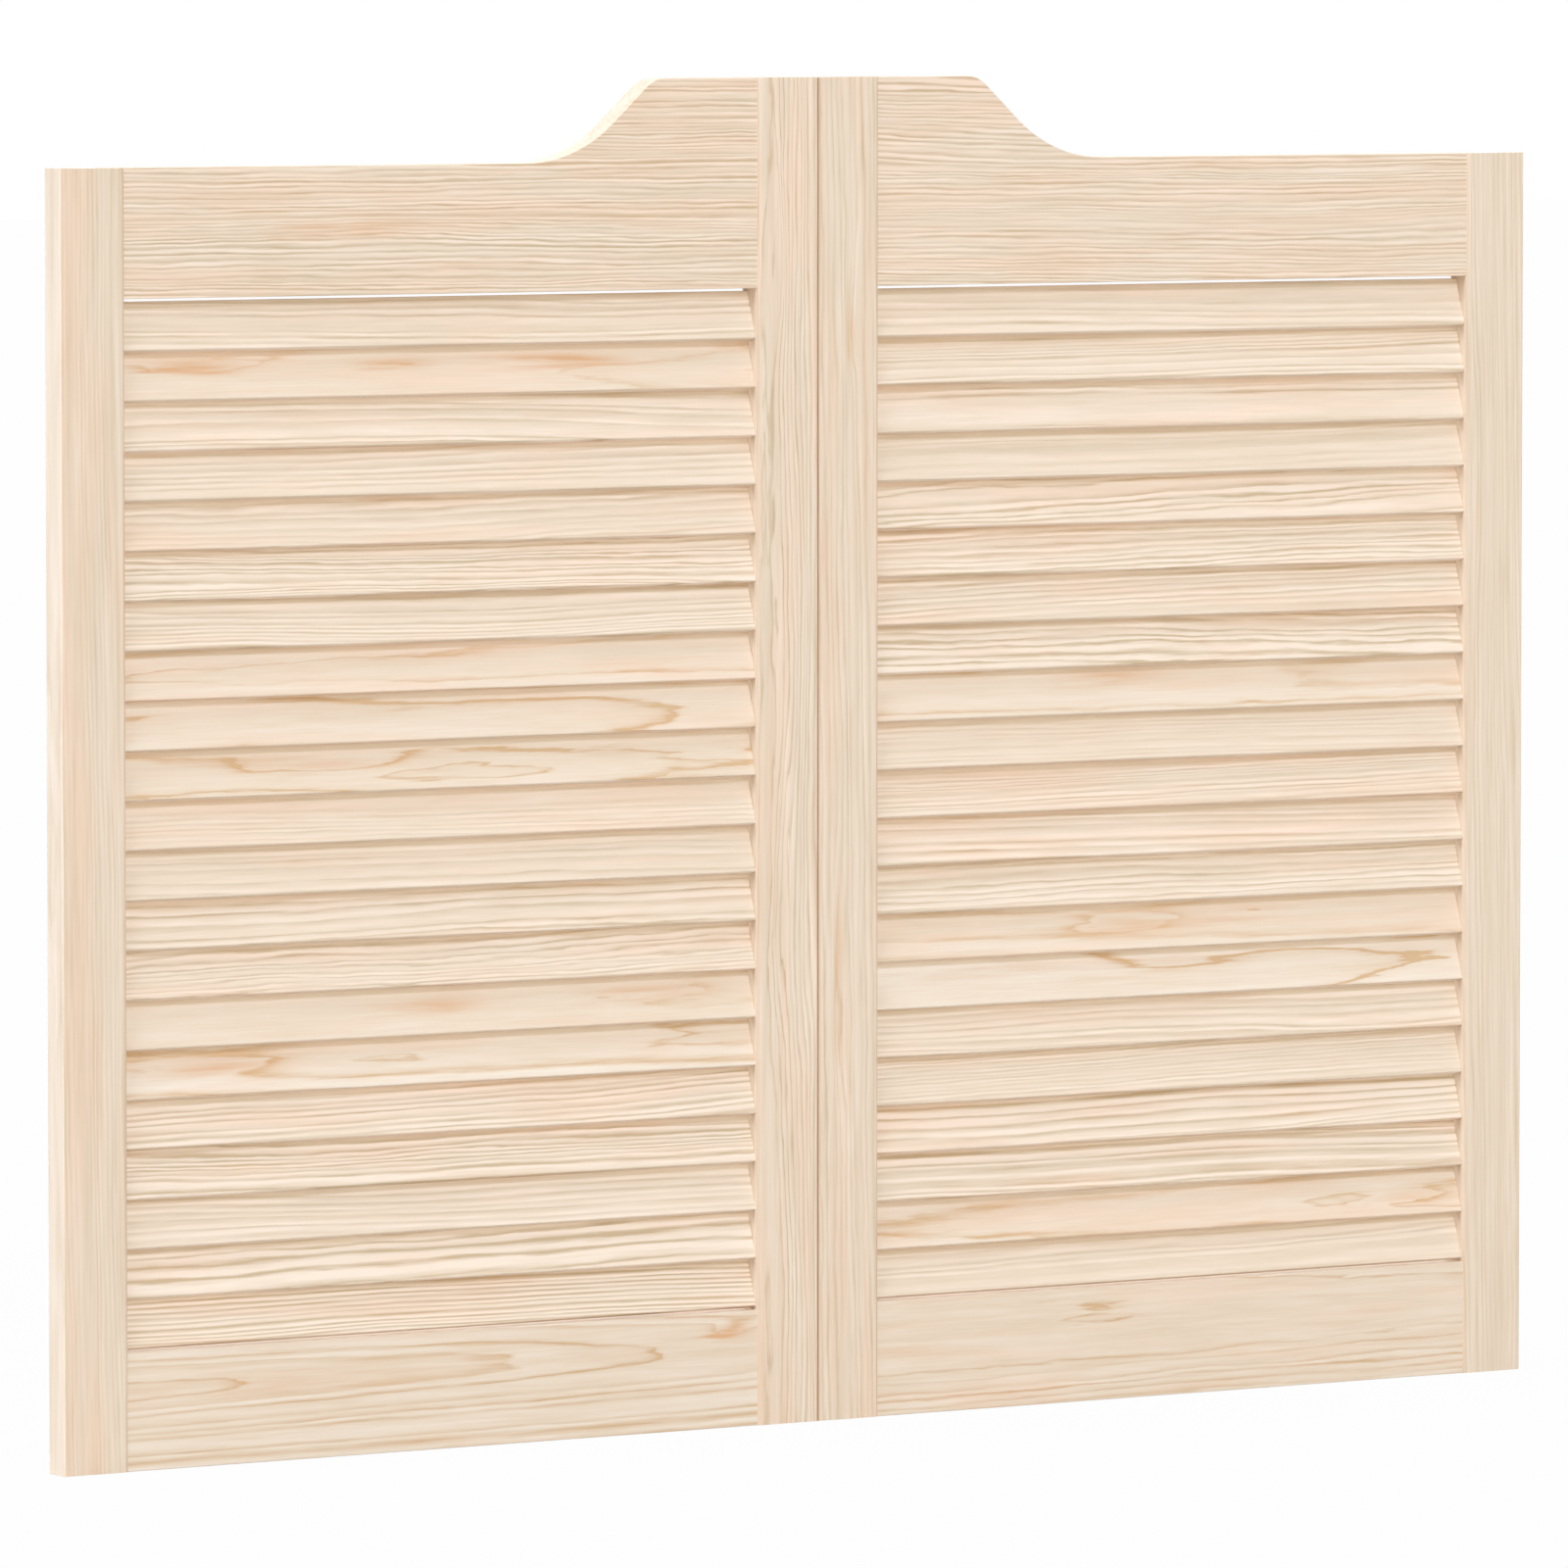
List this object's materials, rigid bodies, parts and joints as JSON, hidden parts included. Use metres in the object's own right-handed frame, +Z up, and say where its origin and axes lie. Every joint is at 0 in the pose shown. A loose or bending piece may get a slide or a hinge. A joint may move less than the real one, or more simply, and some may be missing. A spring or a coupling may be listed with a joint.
{
  "type": "cafe swinging doors",
  "caption": "Louvred pine cafe doors with swept tops; each leaf swings both ways on concealed sprung pivots in its hinge stile and closes by itself.",
  "frame": {"origin": "centre of the pair's foot: midway across the width and the thickness, on the leaves' bottom edges", "axes": "+X to the right along the width, +Y from the front face to the back face, +Z up along the stiles"},
  "size_m": [1.07, 0.019, 0.83],
  "materials": {
    "pine_stile": "planed, unfinished pine, grain upright",
    "pine_rail": "planed, unfinished pine, grain level",
    "pine_slat": "planed, unfinished pine, grain level",
    "beech_dowel": "plain beech rod, chamfered ends",
    "brass_bush": "turned brass, satin",
    "bright_steel": "turned bright steel",
    "spring_steel": "drawn spring wire, oiled"
  },
  "bodies": {
    "doorway_pivots": {"left_pivot_spindles": "bright_steel", "right_pivot_spindles": "bright_steel"},
    "left_leaf": {"left_hinge_stile": "pine_stile", "left_meeting_stile": "pine_stile", "left_top_rail": "pine_rail", "left_bottom_rail": "pine_rail", "left_slat_01": "pine_slat", "left_slat_02": "pine_slat", "left_slat_03": "pine_slat", "left_slat_04": "pine_slat", "left_slat_05": "pine_slat", "left_slat_06": "pine_slat", "left_slat_07": "pine_slat", "left_slat_08": "pine_slat", "left_slat_09": "pine_slat", "left_slat_10": "pine_slat", "left_slat_11": "pine_slat", "left_slat_12": "pine_slat", "left_slat_13": "pine_slat", "left_slat_14": "pine_slat", "left_slat_15": "pine_slat", "left_slat_16": "pine_slat", "left_slat_17": "pine_slat", "left_slat_18": "pine_slat", "left_slat_19": "pine_slat", "left_slat_20": "pine_slat", "left_slat_21": "pine_slat", "left_dowels": "beech_dowel", "left_pivot_bushes": "brass_bush", "left_closing_spring": "spring_steel"},
    "right_leaf": {"right_hinge_stile": "pine_stile", "right_meeting_stile": "pine_stile", "right_top_rail": "pine_rail", "right_bottom_rail": "pine_rail", "right_slat_01": "pine_slat", "right_slat_02": "pine_slat", "right_slat_03": "pine_slat", "right_slat_04": "pine_slat", "right_slat_05": "pine_slat", "right_slat_06": "pine_slat", "right_slat_07": "pine_slat", "right_slat_08": "pine_slat", "right_slat_09": "pine_slat", "right_slat_10": "pine_slat", "right_slat_11": "pine_slat", "right_slat_12": "pine_slat", "right_slat_13": "pine_slat", "right_slat_14": "pine_slat", "right_slat_15": "pine_slat", "right_slat_16": "pine_slat", "right_slat_17": "pine_slat", "right_slat_18": "pine_slat", "right_slat_19": "pine_slat", "right_slat_20": "pine_slat", "right_slat_21": "pine_slat", "right_dowels": "beech_dowel", "right_pivot_bushes": "brass_bush", "right_closing_spring": "spring_steel"}
  },
  "joints": [
    {"name": "left_swing", "type": "hinge", "parent": "doorway_pivots", "child": "left_leaf", "pos_m": [-0.51275, 0, 0], "axis": [0, 0, 1], "range_deg": [-90, 90], "stiffness_Nm_per_rad": 0.52, "deforming": ["left_closing_spring"]},
    {"name": "right_swing", "type": "hinge", "parent": "doorway_pivots", "child": "right_leaf", "pos_m": [0.51275, 0, 0], "axis": [0, 0, -1], "range_deg": [-90, 90], "stiffness_Nm_per_rad": 0.52, "deforming": ["right_closing_spring"]}
  ]
}
